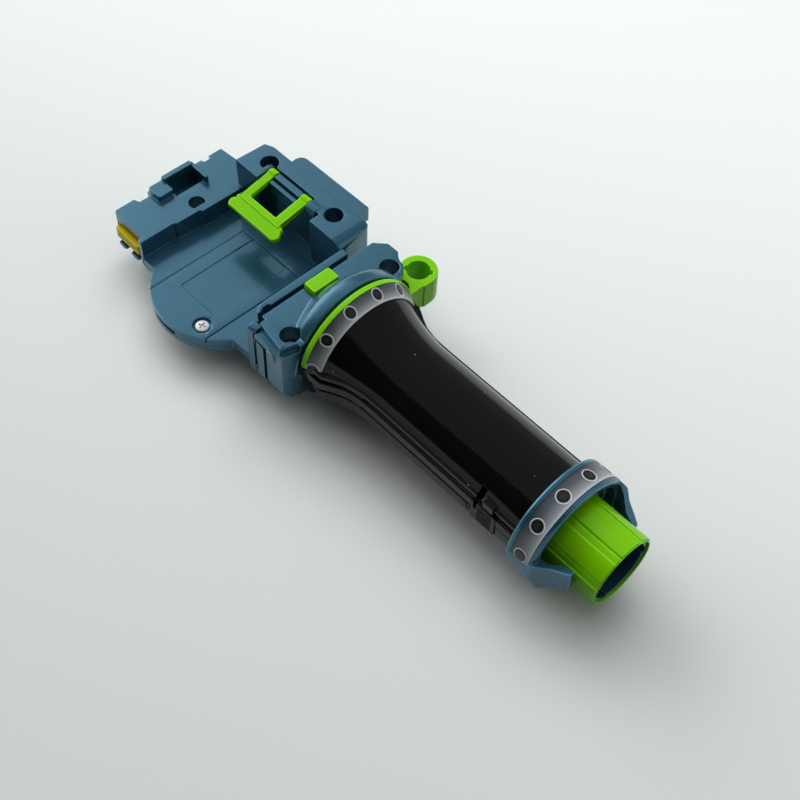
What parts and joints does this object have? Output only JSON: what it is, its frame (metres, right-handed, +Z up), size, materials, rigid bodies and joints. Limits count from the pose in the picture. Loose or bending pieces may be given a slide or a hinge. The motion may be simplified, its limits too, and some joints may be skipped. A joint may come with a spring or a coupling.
{
  "type": "spinning top launcher",
  "caption": "Hand-held launcher for spinning tops: a grip with a locking collar and a holder tube, carrying a slide-in launcher head with a drive disc, latch frame and turning claw.",
  "frame": {"origin": "middle of the bounding box's bottom face, on the plane that the launcher rests on", "axes": "+X along the grip towards the holder tube, +Y towards the strap eyelet, +Z up from the resting plane"},
  "size_m": [0.211, 0.0781, 0.0448],
  "materials": {
    "black_plastic": "polished black plastic",
    "blue_plastic": "satin slate blue plastic",
    "green_plastic": "glossy lime green plastic",
    "orange_plastic": "glossy amber plastic",
    "screw_steel": "bright plated steel",
    "band_metal": "grey band with a printed metallic shading",
    "pinion_nylon": "natural nylon"
  },
  "bodies": {
    "launcher": {"grip_upper_shell": "black_plastic", "grip_lower_shell": "black_plastic", "seam_catch": "black_plastic", "grip_screws": "screw_steel", "neck_ring": "green_plastic", "neck_band": "band_metal", "butt_ring": "blue_plastic", "butt_band": "band_metal", "holder_tube": "green_plastic", "tube_liner": "blue_plastic", "collar_upper_housing": "blue_plastic", "collar_lower_housing": "blue_plastic", "collar_screws": "screw_steel", "button_spring": "screw_steel", "dock_tongue": "blue_plastic", "head_upper_shell": "blue_plastic", "head_lower_shell": "blue_plastic", "disc_cover": "blue_plastic", "cover_screw": "screw_steel", "head_screws": "screw_steel", "rear_guide_bar": "blue_plastic", "latch_pin": "screw_steel"},
    "button": {"release_button": "green_plastic"},
    "latch": {"latch_frame": "green_plastic"},
    "slide": {"lock_slide": "orange_plastic"},
    "claw": {"spindle_shaft": "screw_steel", "drive_pinion": "pinion_nylon", "claw": "green_plastic"}
  },
  "joints": [
    {"name": "button_press", "type": "slide", "parent": "launcher", "child": "button", "axis": [0, 0, -1], "range_m": [0, 0.0016], "stiffness_N_per_m": 400, "springref_m": -0.001, "deforming": ["button_spring"]},
    {"name": "latch_hinge", "type": "hinge", "parent": "launcher", "child": "latch", "pos_m": [-0.0653, 0.02075, 0.0335], "axis": [-1, 0, 0], "range_deg": [0, 110]},
    {"name": "lock_slide_move", "type": "slide", "parent": "launcher", "child": "slide", "axis": [0, 1, 0], "range_m": [0, 0.003]},
    {"name": "claw_spin", "type": "hinge", "parent": "launcher", "child": "claw", "pos_m": [-0.06035, -0.01405, 0], "axis": [0, 0, -1], "continuous": true}
  ]
}
